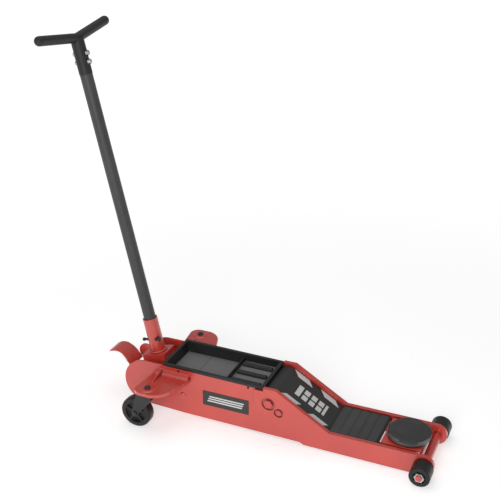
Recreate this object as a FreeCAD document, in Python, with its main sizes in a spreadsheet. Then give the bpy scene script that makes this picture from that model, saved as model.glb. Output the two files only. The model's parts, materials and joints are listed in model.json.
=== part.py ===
"""Long-chassis trolley jack: parametric model of every piece, in millimetres.

Frame: +X points forward to the front rollers, +Y to the left, +Z up.  The origin lies on
the floor, midway along the jack's length and width.  Mirrored pieces end in _l and _r.
"""
import FreeCAD, Part
import math
import os
from types import SimpleNamespace

import Sketcher

# Driving dimensions.  The sheet holds the same cells, and sizes are bound to them.
DIMS = {
    # chassis
    "plate_gap": 147, "plate_thick": 5, "front_plate_thick": 7.5,
    "plate_low": 8, "front_low": 2.5, "plate_top": 157.5, "plate_top_rear": 160.5,
    "nose_top": 161, "low_top": 63,
    "disc_x": -328, "disc_z": 84.5, "disc_radius": 72,
    "slope_start_x": 96, "slope_end_x": 259, "front_end_x": 528,
    "recess_depth": 4,
    # tray
    "tray_rear": -268, "tray_front": 57, "tray_half": 80, "tray_top": 161, "rim_low": 152.2,
    "tray_rise": 3,
    "tub_floor": 127, "tub_wall": 2.5, "tub_half": 73.2, "divider_x": -66, "divider_top": 155,
    "front_floor": 139, "ridge_top": 149, "ridge_gap": 46, "skirt": 1.2,
    # lifting arm and its linkage
    "pivot_x": 74, "pivot_z": 113, "shaft_radius": 14, "bush_clear": 0.05,
    "nose_radius": 40, "cover_thick": 3, "cover_half": 72, "cover_low_z": 56,
    "arm_in": 52, "arm_thick": 6, "arm_tip_x": 450, "arm_tip_z": 40, "arm_tip_radius": 13,
    "link_dx": 32, "link_dz": -22, "rod_in": 62, "rod_thick": 8, "rod_height": 15,
    "lever_length": 70, "lever_angle": -125, "lever_roller_radius": 14,
    # hydraulics
    "ram_z": 50, "ram_radius": 12, "ram_head_radius": 17, "ram_gap": 1.2,
    "block_rear": -232, "block_front": -175, "block_low": 14, "block_top": 100,
    "cylinder_bore": 20, "cylinder_radius": 26, "reservoir_radius": 36, "gland_front": 0,
    "plunger_y": 17.5, "plunger_radius": 7, "quick_y": -41, "quick_radius": 4.8, "plunger_z": 57,
    "filler_x": -90,
    # saddle
    "saddle_x": 467, "saddle_radius": 61, "saddle_top": 80, "carrier_top": 62,
    "carrier_rear": 402, "carrier_front": 515, "carrier_half": 64, "stem_radius": 14,
    # front rollers
    "axle_x": 530.5, "axle_z": 29.5, "axle_radius": 9, "roller_radius": 29.5,
    "roller_in": 91, "roller_out": 136, "axle_end": 141,
    # rear casters
    "caster_x": -268, "caster_y": 174, "caster_trail": 36.5, "caster_radius": 47.5,
    "caster_width": 31, "shelf_top": 131, "shelf_thick": 5, "shelf_lip": 10,
    # handle
    "yoke_x": -309, "yoke_z": 82, "lean": 12.83, "yoke_length": 78, "yoke_width": 65,
    "yoke_top": 75, "yoke_wall": 6, "yoke_pin_radius": 10, "crank": 25, "crank_roller": 9,
    "socket_radius": 22.5, "socket_bore": 18.5, "socket_top": 183.6,
    "tube_radius": 18.1, "tube_bore": 15, "tube_start": 165, "bolt_s": 119, "bolt_y": -16.2,
    "junction": 1031.8, "sleeve_radius": 18.9, "sleeve_length": 100,
    "grip_radius": 13.5, "grip_half": 161, "grip_rise": 22, "grip_sweep": 3.9,
    "spindle_angle": 20,
}
d = SimpleNamespace(**DIMS)

V = FreeCAD.Vector
TURN = FreeCAD.Rotation
PLACE = FreeCAD.Placement
ALONG_X = TURN(V(0, 1, 0), 90)
ALONG_Y = TURN(V(1, 0, 0), -90)
ALONG_Z = TURN()
WORLD = PLACE()
HANDLE = PLACE(V(d.yoke_x, 0, d.yoke_z), TURN(V(0, 1, 0), -d.lean))

doc = FreeCAD.newDocument("trolley_jack")
sheet = doc.addObject("Spreadsheet::Sheet", "dims")
for row, (alias, value) in enumerate(DIMS.items(), 1):
    sheet.set(f"A{row}", alias)
    sheet.set(f"B{row}", str(value))
    sheet.setAlias(f"B{row}", alias)
doc.recompute()

nodes = []


# ---------------------------------------------------------------- building blocks

def bind(obj, **sizes):
    """Set each size: text is an expression on the sheet's cells, a number stays a number."""
    for prop, value in sizes.items():
        if isinstance(value, str):
            obj.setExpression(prop, value)
        else:
            setattr(obj, prop, value)
    return obj


def keep(obj, label):
    """Name a finished piece, which makes it a node."""
    obj.Label = label
    nodes.append(obj)
    return obj


def box(length, width, height, corner, frame=WORLD):
    obj = bind(doc.addObject("Part::Box", "block"), Length=length, Width=width, Height=height)
    obj.Placement = frame * PLACE(V(*corner), TURN())
    return obj


def rod(radius, length, start, turn=ALONG_Y, frame=WORLD):
    obj = bind(doc.addObject("Part::Cylinder", "rod"), Radius=radius, Height=length)
    obj.Placement = frame * PLACE(V(*start), turn)
    return obj


def ball(radius, centre, frame=WORLD):
    obj = bind(doc.addObject("Part::Sphere", "ball"), Radius=radius)
    obj.Placement = frame * PLACE(V(*centre), TURN())
    return obj


def cone(radius_low, radius_high, height, start, turn=ALONG_Z, frame=WORLD):
    obj = doc.addObject("Part::Cone", "cone")
    bind(obj, Radius1=radius_low, Radius2=radius_high, Height=height)
    obj.Placement = frame * PLACE(V(*start), turn)
    return obj


def hexagon(across_corners, length, start, turn=ALONG_Y, frame=WORLD):
    obj = doc.addObject("Part::Prism", "hexagon")
    bind(obj, Polygon=6, Circumradius=across_corners / 2, Height=length)
    obj.Placement = frame * PLACE(V(*start), turn)
    return obj


def fuse(*shapes):
    obj = doc.addObject("Part::MultiFuse", "fused")
    obj.Shapes = list(shapes)
    return obj


def cut(base, *tools):
    obj = doc.addObject("Part::Cut", "cut")
    obj.Base = base
    obj.Tool = tools[0] if len(tools) == 1 else fuse(*tools)
    return obj


def group(*solids):
    """Separate like solids that share one node."""
    obj = doc.addObject("Part::Compound", "group")
    obj.Links = list(solids)
    return obj


def mirrored(source):
    """The same piece on the other side of the jack's middle plane."""
    obj = doc.addObject("Part::Mirroring", "mirrored")
    obj.Source = source
    obj.Base = V(0, 0, 0)
    obj.Normal = V(0, 1, 0)
    return obj


def sketch_on(body, plane):
    sketch = body.newObject("Sketcher::SketchObject", "outline")
    origin_plane = next(f for f in body.Origin.OriginFeatures if f.Role == plane)
    sketch.AttachmentSupport = [(origin_plane, "")]
    sketch.MapMode = "FlatFace"
    return sketch


def draw(sketch, start, moves):
    """Close an outline: a move is the next point, or an arc's middle point and its end."""
    here = V(*start, 0)
    for move in list(moves) + [start]:
        if isinstance(move[0], tuple):
            middle, end = V(*move[0], 0), V(*move[1], 0)
            sketch.addGeometry(Part.Arc(here, middle, end), False)
        else:
            end = V(*move, 0)
            if here.distanceToPoint(end) > 1e-6:
                sketch.addGeometry(Part.LineSegment(here, end), False)
        here = end


def drill(sketch, x, y, radius):
    """A round hole in an outline, its radius held by a constraint."""
    centre = V(x, y, 0)
    index = sketch.addGeometry(Part.Circle(centre, V(0, 0, 1), 1.0), False)
    sketch.addConstraint(Sketcher.Constraint("DistanceX", -1, 1, index, 3, x))
    sketch.addConstraint(Sketcher.Constraint("DistanceY", -1, 1, index, 3, y))
    spot = sketch.addConstraint(Sketcher.Constraint("Radius", index, float(d_value(radius))))
    if isinstance(radius, str):
        sketch.setExpression(f"Constraints[{spot}]", radius)


def d_value(size):
    """The value of a size given as a number, or as 'dims.cell' or 'dims.cell + number'."""
    if not isinstance(size, str):
        return size
    cell, _, more = size.replace("dims.", "").partition("+")
    return DIMS[cell.strip()] + float(more or 0)


def plate(start, moves, thick, at, plane="XZ_Plane", holes=(), frame=WORLD):
    """A padded outline.  On XZ it grows from y = at towards -Y, on XY from z = at upwards."""
    body = doc.addObject("PartDesign::Body", "plate")
    sketch = sketch_on(body, plane)
    draw(sketch, start, moves)
    for x, y, radius in holes:
        drill(sketch, x, y, radius)
    pad = body.newObject("PartDesign::Pad", "pad")
    pad.Profile = sketch
    bind(pad, Length=thick)
    shift = {"XZ_Plane": V(0, at, 0), "XY_Plane": V(0, 0, at), "YZ_Plane": V(at, 0, 0)}[plane]
    body.Placement = frame * PLACE(shift, TURN())
    return body


def lathe(start, moves, centre, turn=ALONG_Y, frame=WORLD):
    """A turned piece: the outline's points are (radius, distance along the axis)."""
    body = doc.addObject("PartDesign::Body", "turned")
    sketch = sketch_on(body, "XZ_Plane")
    draw(sketch, start, moves)
    turned = body.newObject("PartDesign::Revolution", "turning")
    turned.Profile = sketch
    turned.ReferenceAxis = (sketch, ["V_Axis"])
    turned.Angle = 360
    body.Placement = frame * PLACE(V(*centre), turn)
    return body


def polar(centre_x, centre_z, radius, degrees):
    angle = math.radians(degrees)
    return (centre_x + radius * math.cos(angle), centre_z + radius * math.sin(angle))


def capsule(ax, az, a_radius, bx, bz, b_radius):
    """The outline round two circles and the straight lines that touch both."""
    heading = math.degrees(math.atan2(bz - az, bx - ax))
    spread = math.degrees(math.acos((a_radius - b_radius) / math.hypot(bx - ax, bz - az)))
    start = polar(ax, az, a_radius, heading + spread)
    moves = [
        (polar(ax, az, a_radius, heading + 180), polar(ax, az, a_radius, heading - spread)),
        polar(bx, bz, b_radius, heading - spread),
        (polar(bx, bz, b_radius, heading), polar(bx, bz, b_radius, heading + spread)),
    ]
    return start, moves


# ---------------------------------------------------------------- chassis

INNER = d.plate_gap / 2
OUTER = INNER + d.plate_thick
FRONT_OUTER = OUTER + d.front_plate_thick
ANCHOR_X = d.pivot_x + d.link_dx
ANCHOR_Z = d.pivot_z + d.link_dz
NOSE_STEP = d.tray_front + 0.6
SEAM_X = 184
PUMP_BOLT = (-204, 69)
CLIP_SPOTS = ((-217, 147.5), (8, 147.5))
PIVOT_BOLT_RADIUS = 8
ANCHOR_BOLT_RADIUS = 6


def rounded_front_end():
    """Slope, low rail and round front end, shared by the side and front plates."""
    middle = (d.low_top + d.front_low) / 2
    reach = d.front_end_x + (d.low_top - d.front_low) / 2
    return [
        (d.slope_start_x, d.nose_top), (d.slope_end_x, d.low_top), (d.front_end_x, d.low_top),
        ((reach, middle), (d.front_end_x, d.front_low)),
    ]


def side_plate(side):
    moves = [
        (d.tray_rear + 4, d.disc_z + d.disc_radius), (d.tray_rear + 4, d.plate_top_rear),
        (d.tray_front - 3, d.plate_top), (d.tray_front - 3, d.rim_low - 1),
        (NOSE_STEP, d.rim_low - 1), (NOSE_STEP, d.nose_top), *rounded_front_end(),
        (SEAM_X + 6, 5), (-200, d.plate_low), (d.disc_x, d.disc_z - d.disc_radius),
    ]
    rear = (d.disc_x - d.disc_radius, d.disc_z)
    top = (d.disc_x, d.disc_z + d.disc_radius)
    holes = [
        (d.pivot_x, d.pivot_z, PIVOT_BOLT_RADIUS), (ANCHOR_X, ANCHOR_Z, ANCHOR_BOLT_RADIUS),
        (d.yoke_x, d.yoke_z, "dims.yoke_pin_radius"),
        (d.axle_x, d.axle_z, "dims.axle_radius+0.1"), (*PUMP_BOLT, 5),
        *((x, z, 2.5) for x, z in CLIP_SPOTS),
    ]
    edge = OUTER if side > 0 else -INNER
    return plate(top, moves + [(rear, top)], "dims.plate_thick", edge, holes=holes)


def front_plate():
    """Outer front cheek of the right side, with a round recess at each of its two bolts."""
    moves = [
        (NOSE_STEP, d.rim_low - 1), (NOSE_STEP, d.nose_top), *rounded_front_end(),
        (SEAM_X, 4.5), (107, 41), (70, 60), ((41.5, 78), (29.5, 104)),
    ]
    holes = [
        (d.pivot_x, d.pivot_z, PIVOT_BOLT_RADIUS), (ANCHOR_X, ANCHOR_Z, ANCHOR_BOLT_RADIUS),
        (d.axle_x, d.axle_z, "dims.axle_radius+0.1"),
    ]
    blank = plate((30, d.rim_low - 1), moves, "dims.front_plate_thick", -OUTER, holes=holes)
    recesses = [
        rod(radius, "dims.recess_depth", (x, -FRONT_OUTER, z))
        for x, z, radius in ((d.pivot_x, d.pivot_z, 20.5), (ANCHOR_X, ANCHOR_Z, 14.5))
    ]
    return cut(blank, *recesses)


for side, letter in ((1, "l"), (-1, "r")):
    keep(side_plate(side), "side_plate_" + letter)

cheek = keep(front_plate(), "front_plate_r")
keep(mirrored(cheek), "front_plate_l")


def shelf_outline(inset):
    """Plan of the right caster shelf, from the side plate round its swept outer edge."""
    out = -204 + inset
    rear = -304 + inset
    wall = -OUTER
    moves = [
        (rear, -176), ((rear + 7, -196 + inset), (-278, out)), (-246, out),
        ((-217 - inset, -188 + inset), (-200 - inset, -156)), (-181 - inset, -102),
        (-177 - inset, wall),
    ]
    return (rear + 12, wall), moves


def caster_shelf():
    """Pressed shelf with a turned-down rim, a gusset and a raised seat for the caster bolt."""
    low = d.shelf_top - d.shelf_lip
    top = plate(*shelf_outline(0), "dims.shelf_lip", low, plane="XY_Plane")
    hollow = plate(
        *shelf_outline(4), "dims.shelf_lip - dims.shelf_thick", low, plane="XY_Plane")
    gusset = plate(
        (-OUTER, d.shelf_top), [(-OUTER, 144), (-145, d.shelf_top)], 5, -274, plane="YZ_Plane")
    seat = cone(24, 20, 2, (d.caster_x, -d.caster_y, d.shelf_top))
    bolt_hole = rod(6, 40, (d.caster_x, -d.caster_y, low - 5), ALONG_Z)
    return cut(fuse(cut(top, hollow), gusset, seat), bolt_hole)


shelf = keep(caster_shelf(), "caster_shelf_r")
keep(mirrored(shelf), "caster_shelf_l")


def caster_bolt(side):
    """Dome-headed swivel bolt with its lock nut under the fork."""
    seat = d.shelf_top + 2
    dome = [(6, 0), (9, 0), (9, 2.5), ((6.6, 5.2), (1, 6.5)), (0, 6.5), (0, -46), (6, -46)]
    return lathe((6, -30), dome, (d.caster_x, side * d.caster_y, seat), ALONG_Z)


keep(group(caster_bolt(1), caster_bolt(-1)), "caster_bolts")

AXLE_TUBE_RADIUS = 13
tube = rod(AXLE_TUBE_RADIUS, "dims.plate_gap", (d.axle_x, -INNER, d.axle_z))
keep(cut(tube, rod("dims.axle_radius + 0.1", "dims.plate_gap + 2",
                   (d.axle_x, -INNER - 1, d.axle_z))), "axle_tube")

axle = keep(rod("dims.axle_radius", "2 * dims.axle_end",
                (d.axle_x, -d.axle_end, d.axle_z)), "front_axle")
NUT_START = 129.4
NUT_LENGTH = 9
nuts = [
    cut(hexagon(29, NUT_LENGTH, (d.axle_x, y, d.axle_z)),
        rod("dims.axle_radius", NUT_LENGTH + 2, (d.axle_x, y - 1, d.axle_z)))
    for y in (NUT_START, -NUT_START - NUT_LENGTH)
]
keep(group(*nuts), "axle_nuts")

keep(box(236, "dims.plate_gap", 3, (d.block_rear, -INNER, d.plate_low + 3)), "bottom_plate")

# Arm pivot: a shaft between the side plates, held by a bolt from each side.
shaft = rod("dims.shaft_radius", "dims.plate_gap", (d.pivot_x, -INNER, d.pivot_z))
keep(cut(shaft, *[rod(PIVOT_BOLT_RADIUS, 26, (d.pivot_x, y, d.pivot_z))
                  for y in (-INNER - 1, INNER - 25)]), "arm_pivot_shaft")


def plate_bolt(x, z, radius, corners, head, inner_end):
    """Bolt of the right side: hexagon head in the recess, shank to inner_end."""
    face = -(FRONT_OUTER - d.recess_depth)
    collar = rod(corners / 2 + 0.6, 1.6, (x, face - 1.6, z))
    return fuse(hexagon(corners, head, (x, face - head, z)), collar,
                rod(radius, -inner_end - face, (x, face, z)))


def bolt_pair(*args):
    bolt = plate_bolt(*args)
    return group(bolt, mirrored(bolt))


keep(bolt_pair(d.pivot_x, d.pivot_z, PIVOT_BOLT_RADIUS, 27, 7, INNER - 24), "arm_pivot_bolts")
keep(bolt_pair(ANCHOR_X, ANCHOR_Z, ANCHOR_BOLT_RADIUS, 19, 5, d.rod_in - 2),
     "rod_anchor_bolts")


def dome_bolt(x, z, radius, head_radius, head, depth):
    """Round-headed bolt through the right side plate."""
    outline = [(radius, 0), (head_radius, 0), (head_radius, head * 0.4),
               ((head_radius * 0.72, head * 0.85), (head_radius * 0.15, head)), (0, head),
               (0, -depth)]
    return lathe((radius, -depth), outline, (x, -OUTER, z), TURN(V(1, 0, 0), 90))


pump_bolt = dome_bolt(*PUMP_BOLT, 5, 9, 3, 24)
keep(group(pump_bolt, mirrored(pump_bolt)), "pump_mount_bolts")

clips = [dome_bolt(x, z, 2.5, 3.4, 2, d.plate_thick) for x, z in CLIP_SPOTS]
keep(group(*clips, *[mirrored(clip) for clip in clips]), "tray_clips")

label_plate = box(147, 0.8, 48, (-137, -OUTER - 0.8, 55))
keep(group(label_plate, mirrored(label_plate)), "label_plates")

PIN_INNER_END = 24
keep(group(*[rod("dims.yoke_pin_radius", OUTER - PIN_INNER_END, (d.yoke_x, y, d.yoke_z))
             for y in (PIN_INNER_END, -OUTER)]), "yoke_pins")


# ---------------------------------------------------------------- tray

def tool_tray():
    """Moulded tray: rim and skirt over the side plates, a deep bay and a ribbed shallow one."""
    rear, front, rise = d.tray_rear, d.tray_front, d.tray_rise
    rim = plate(
        (rear, d.disc_z + d.disc_radius + 0.3),
        [(rear, d.tray_top + rise), (front, d.tray_top), (front, d.rim_low)],
        "2 * dims.tray_half", d.tray_half)
    under = d.tub_floor - d.tub_wall
    tub_rear = rear + 6
    tub = plate(
        (tub_rear, d.rim_low + 4),
        [(tub_rear, under + 6), ((tub_rear + 1.8, under + 1.8), (tub_rear + 6, under)),
         (28, under), (51, d.rim_low + 2)],
        "2 * dims.tub_half", d.tub_half)
    channel = INNER - 0.3
    skirt_inner = d.tray_half - d.skirt
    channels = [
        plate((rear + d.skirt, d.rim_low - 1),
              [(rear + d.skirt, d.plate_top + rise + 0.5), (front - d.skirt, d.plate_top + 0.5),
               (front - d.skirt, d.rim_low - 1)],
              skirt_inner - channel, y)
        for y in (skirt_inner, -channel)
    ]
    front_relief = box(8, "2 * dims.tray_half", 2, (front - 4, -d.tray_half, d.rim_low))
    bay_half = d.tub_half - d.tub_wall
    above = 170
    rear_bay = plate(
        (tub_rear + 2.5, above),
        [(tub_rear + 2.5, d.tub_floor + 6),
         ((tub_rear + 4.3, d.tub_floor + 1.8), (tub_rear + 8.5, d.tub_floor)),
         (d.divider_x - 1.5, d.tub_floor), (d.divider_x - 1.5, above)],
        2 * bay_half, bay_half)
    front_bay = plate(
        (d.divider_x + 1.5, above),
        [(d.divider_x + 1.5, d.front_floor), (35, d.front_floor), (47.5, d.rim_low + 2),
         (47.5, above)],
        2 * bay_half, bay_half)
    over_divider = box(5, 2 * bay_half, 20, (d.divider_x - 2.5, -bay_half, d.divider_top))
    ridge_start = d.divider_x + 6
    ridge_length = 33 - ridge_start
    ridge = 8
    ridges = []
    for y in (-d.ridge_gap, 0, d.ridge_gap):
        ridges.append(rod(ridge, ridge_length, (ridge_start, y, d.ridge_top - ridge), ALONG_X))
        ridges.append(box(ridge_length, 2 * ridge, d.ridge_top - ridge - d.front_floor + 1,
                          (ridge_start, y - ridge, d.front_floor - 1)))
    step = box(2, 2 * bay_half, 1.2, (-178, -bay_half, d.tub_floor - 0.5))
    shell = cut(fuse(rim, tub), *channels, front_relief, rear_bay, front_bay, over_divider)
    return fuse(shell, *ridges, step)


keep(tool_tray(), "tool_tray")


# ---------------------------------------------------------------- hydraulics

LEVER_PIN = polar(d.pivot_x, d.pivot_z, d.lever_length, d.lever_angle)
PUSH_FACE = LEVER_PIN[0] - d.lever_roller_radius - d.ram_gap
SPINDLE = PLACE(V(d.yoke_x, 0, d.yoke_z), TURN(V(0, 1, 0), 90 + d.spindle_angle))
SPINDLE_RADIUS = 6
SPINDLE_END = 96
PLUNGER_FACE = d.yoke_x + d.crank_roller + 0.3
PLUNGER_TIP = d.block_rear + 30


def pump_block():
    length = d.block_front - d.block_rear
    cast = box("dims.block_front - dims.block_rear", 2 * INNER - 0.4,
               "dims.block_top - dims.block_low", (d.block_rear, -INNER + 0.2, d.block_low))
    bores = [
        rod("dims.plunger_radius + 0.05", 50,
            (d.block_rear - 1, d.plunger_y, d.plunger_z), ALONG_X),
        rod("dims.quick_radius + 0.05", 46, (d.block_rear - 1, d.quick_y, d.plunger_z), ALONG_X),
        rod(SPINDLE_RADIUS + 0.05, SPINDLE_END + 2 - 60, (0, 0, 60), ALONG_Z, SPINDLE),
        *[rod(5, 25, (PUMP_BOLT[0], y, PUMP_BOLT[1])) for y in (-INNER - 1, INNER - 24)],
        rod(d.cylinder_bore - 8, 12, (d.block_rear + length - 11, 0, d.ram_z), ALONG_X),
    ]
    return cut(cast, *bores)


keep(pump_block(), "pump_block")


def pipe(radius, bore, x_start, x_end, z):
    length = x_end - x_start
    return cut(rod(radius, length, (x_start, 0, z), ALONG_X),
               rod(bore, length + 2, (x_start - 1, 0, z), ALONG_X))


GLAND_REAR = d.gland_front - 22
keep(pipe("dims.cylinder_radius", "dims.cylinder_bore", d.block_front, GLAND_REAR, d.ram_z),
     "cylinder_tube")
FILLER_HOLE = 5
reservoir = pipe("dims.reservoir_radius", "dims.reservoir_radius - 3", d.block_front,
                 GLAND_REAR, d.ram_z)
keep(cut(reservoir, rod(FILLER_HOLE, 12, (d.filler_x, 0, d.ram_z + d.reservoir_radius - 9),
                        ALONG_Z)), "reservoir_tube")
gland = fuse(rod("dims.reservoir_radius", 10, (GLAND_REAR, 0, d.ram_z), ALONG_X),
             hexagon(56, 12, (GLAND_REAR + 10, 0, d.ram_z), ALONG_X))
keep(cut(gland, rod("dims.ram_radius + 0.05", 30, (GLAND_REAR - 1, 0, d.ram_z), ALONG_X)),
     "gland_nut")
keep(lathe((0, -5), [(FILLER_HOLE, -5), (FILLER_HOLE, 0), (9, 0), (9, 3), ((7, 6), (1, 7)),
                     (0, 7)],
           (d.filler_x, 0, d.ram_z + d.reservoir_radius + 0.5), ALONG_Z), "filler_plug")

HEAD_LENGTH = 12
PISTON_REAR = -150
ram = lathe(
    (0, PISTON_REAR),
    [(d.cylinder_bore - 0.05, PISTON_REAR), (d.cylinder_bore - 0.05, PISTON_REAR + 18),
     (d.ram_radius, PISTON_REAR + 18), (d.ram_radius, PUSH_FACE - HEAD_LENGTH),
     (d.ram_head_radius, PUSH_FACE - HEAD_LENGTH), (d.ram_head_radius, PUSH_FACE),
     (0, PUSH_FACE)],
    (0, 0, d.ram_z), ALONG_X)
keep(ram, "ram_rod")


def plunger(radius, y):
    """Pump plunger: a plain stem that slides in the block and a wider head."""
    stem = PLUNGER_TIP - PLUNGER_FACE
    return lathe((0, 0), [(radius + 1.2, 0), (radius + 1.2, 7), (radius, 7), (radius, stem),
                          (0, stem)], (PLUNGER_FACE, y, d.plunger_z), ALONG_X)


keep(plunger(d.plunger_radius, d.plunger_y), "pump_plunger")
keep(plunger(d.quick_radius, d.quick_y), "quick_plunger")


# ---------------------------------------------------------------- lifting arm

SLOPE = math.atan2(d.nose_top - d.low_top, d.slope_end_x - d.slope_start_x)
NORMAL_DEG = 90 - math.degrees(SLOPE)


def slope_meets(radius, z):
    """Where the sloping face at a distance from the pivot reaches a height."""
    normal_x, normal_z = polar(0, 0, 1, NORMAL_DEG)
    return d.pivot_x + (radius - (z - d.pivot_z) * normal_z) / normal_x


def arm_cover():
    """Bent sheet: round nose about the pivot, slope, and a flat front end."""
    skin = d.nose_radius - d.cover_thick
    low_skin = d.cover_low_z - d.cover_thick
    front = 396
    tail, half_way = 185, (185 + NORMAL_DEG) / 2
    px, pz = d.pivot_x, d.pivot_z
    moves = [
        (polar(px, pz, d.nose_radius, half_way), polar(px, pz, d.nose_radius, NORMAL_DEG)),
        (slope_meets(d.nose_radius, d.cover_low_z), d.cover_low_z),
        (front, d.cover_low_z), (front, low_skin), (slope_meets(skin, low_skin), low_skin),
        polar(px, pz, skin, NORMAL_DEG),
        (polar(px, pz, skin, half_way), polar(px, pz, skin, tail)),
    ]
    return plate(polar(px, pz, d.nose_radius, tail), moves, "2 * dims.cover_half",
                 d.cover_half)


def arm_plate(side):
    skin = d.nose_radius - d.cover_thick
    low_skin = d.cover_low_z - d.cover_thick
    px, pz = d.pivot_x, d.pivot_z
    tip_low = d.arm_tip_z - d.arm_tip_radius
    moves = [
        (slope_meets(skin, low_skin), low_skin), (d.arm_tip_x, low_skin),
        ((d.arm_tip_x + d.arm_tip_radius, d.arm_tip_z), (d.arm_tip_x, tip_low)),
        (262, tip_low - 3), polar(px, pz, skin, -100),
        (polar(px, pz, skin, 170), polar(px, pz, skin, NORMAL_DEG)),
    ]
    holes = [(px, pz, "dims.shaft_radius+0.05"), (d.arm_tip_x, d.arm_tip_z, 8)]
    edge = d.arm_in + d.arm_thick if side > 0 else -d.arm_in
    return plate(polar(px, pz, skin, NORMAL_DEG), moves, "dims.arm_thick", edge, holes=holes)


keep(arm_cover(), "arm_cover")
keep(arm_plate(1), "arm_plate_l")
keep(arm_plate(-1), "arm_plate_r")


def tread_pad():
    """Rubber tread on the arm's flat end, with broad cross ribs."""
    rear, front, ribs, groove = 252, 391, 5, 3
    low, valley, crest = d.cover_low_z, d.cover_low_z + 2.2, d.cover_low_z + 4
    pitch = (front - rear) / ribs
    moves = []
    for rib in range(ribs):
        x = rear + rib * pitch
        moves += [(x, crest), (x + pitch - groove, crest),
                  (x + pitch - groove + 0.5, valley), (x + pitch, valley)]
    moves[-1] = (front, low)
    moves[-2] = (front, valley)
    return plate((rear, low), moves, 2 * (d.cover_half - 2), d.cover_half - 2)


keep(tread_pad(), "tread_pad")


def arm_lever():
    """Hub tube that joins the arm plates, with the two lever cheeks that the ram pushes."""
    hub = rod(21, "2 * dims.arm_in", (d.pivot_x, -d.arm_in, d.pivot_z))
    start, moves = capsule(d.pivot_x, d.pivot_z, 24, *LEVER_PIN, 12)
    cheeks = [plate(start, moves, 8, edge) for edge in (26, -18)]
    bore = rod("dims.shaft_radius + dims.bush_clear", 2 * d.arm_in + 2,
               (d.pivot_x, -d.arm_in - 1, d.pivot_z))
    pin_hole = rod(6, 60, (LEVER_PIN[0], -30, LEVER_PIN[1]))
    return cut(fuse(hub, *cheeks), bore, pin_hole)


keep(arm_lever(), "arm_lever")
half_pin, half_roller = 27, 17.6
keep(lathe((0, -half_pin),
           [(6, -half_pin), (6, -half_roller), (d.lever_roller_radius, -half_roller),
            (d.lever_roller_radius, half_roller), (6, half_roller), (6, half_pin),
            (0, half_pin)],
           (LEVER_PIN[0], 0, LEVER_PIN[1])), "lever_roller")

CHEEK_IN = 44
tip_pins = [rod(7.95, 15, (d.arm_tip_x, y, d.arm_tip_z))
            for y in (CHEEK_IN - 1, -CHEEK_IN - 14)]
keep(group(*tip_pins), "carrier_pins")


# ---------------------------------------------------------------- saddle carrier and rods

LINK_X = d.arm_tip_x + d.link_dx
LINK_Z = d.arm_tip_z + d.link_dz
PLATE_DROP = 6


def saddle_carrier():
    """Carrier plate with two cheeks and the boss that the saddle turns in."""
    under = d.carrier_top - PLATE_DROP
    top = plate(
        (d.carrier_rear, -d.carrier_half),
        [(d.carrier_front - 14, -d.carrier_half),
         ((d.carrier_front - 4, -d.carrier_half + 4), (d.carrier_front, -d.carrier_half + 14)),
         (d.carrier_front, d.carrier_half - 14),
         ((d.carrier_front - 4, d.carrier_half - 4), (d.carrier_front - 14, d.carrier_half)),
         (d.carrier_rear, d.carrier_half)],
        PLATE_DROP, under, plane="XY_Plane")
    start, moves = capsule(d.arm_tip_x, d.arm_tip_z, 16, LINK_X, LINK_Z, 9)
    cheeks = []
    for edge in (CHEEK_IN + 6, -CHEEK_IN):
        cheeks.append(plate(start, moves, 6, edge))
        cheeks.append(box(60, 6, 22, (d.arm_tip_x - 14, edge - 6, under - 22)))
    boss = rod(22, 22, (d.saddle_x, 0, under - 22), ALONG_Z)
    lip_drop = 32
    lip = box(5, 2 * d.carrier_half - 28, lip_drop,
              (d.carrier_front - 5.5, -d.carrier_half + 14, under - lip_drop))
    bores = [
        rod("dims.stem_radius + dims.bush_clear", 40, (d.saddle_x, 0, under - 30), ALONG_Z),
        rod(8, 2 * CHEEK_IN + 20, (d.arm_tip_x, -CHEEK_IN - 10, d.arm_tip_z)),
        rod(6, 2 * CHEEK_IN + 20, (LINK_X, -CHEEK_IN - 10, LINK_Z)),
    ]
    return cut(fuse(top, *cheeks, boss, lip), *bores)


keep(saddle_carrier(), "saddle_carrier")
keep(group(*[rod(6, 27, (LINK_X, y, LINK_Z)) for y in (CHEEK_IN - 0.5, -CHEEK_IN - 26.5)]),
     "rod_pins")


def levelling_rod(side):
    """Cranked bar with an eye at each end that keeps the saddle level."""
    half = d.rod_height / 2
    knee_x, knee_z = 238, 34
    eye = 12
    edge = d.rod_in + d.rod_thick if side > 0 else -d.rod_in
    shank = plate(
        (ANCHOR_X, ANCHOR_Z + half),
        [(knee_x, knee_z + half), (LINK_X, LINK_Z + half - 1), (LINK_X, LINK_Z - half + 1),
         (knee_x, knee_z - half), (ANCHOR_X, ANCHOR_Z - half)],
        "dims.rod_thick", edge)
    y = edge - d.rod_thick
    eyes = [rod(eye, "dims.rod_thick", (ANCHOR_X, y, ANCHOR_Z)),
            rod(10, "dims.rod_thick", (LINK_X, y, LINK_Z))]
    bores = [rod(6.05, 12, (ANCHOR_X, y - 2, ANCHOR_Z)), rod(6.3, 12, (LINK_X, y - 2, LINK_Z))]
    return cut(fuse(shank, *eyes), *bores)


keep(levelling_rod(1), "levelling_rod_l")
keep(levelling_rod(-1), "levelling_rod_r")

# Saddle: a metal cup with a broken rim, on a stem that turns in the carrier.
CUP_LOW = d.carrier_top + 0.3
CUP_FLOOR = 73
STEM_LOW = 29
cup_blank = lathe(
    (0, STEM_LOW),
    [(d.stem_radius, STEM_LOW), (d.stem_radius, CUP_LOW), (d.saddle_radius - 4, CUP_LOW),
     (d.saddle_radius, CUP_LOW + 3), (d.saddle_radius, d.saddle_top - 2.5),
     (d.saddle_radius - 4, d.saddle_top - 2.5), (d.saddle_radius - 4, CUP_FLOOR),
     (0, CUP_FLOOR)],
    (d.saddle_x, 0, 0), ALONG_Z)
NOTCHES = 4
NOTCH_LENGTH = 54
NOTCH_TURN = 10


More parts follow.
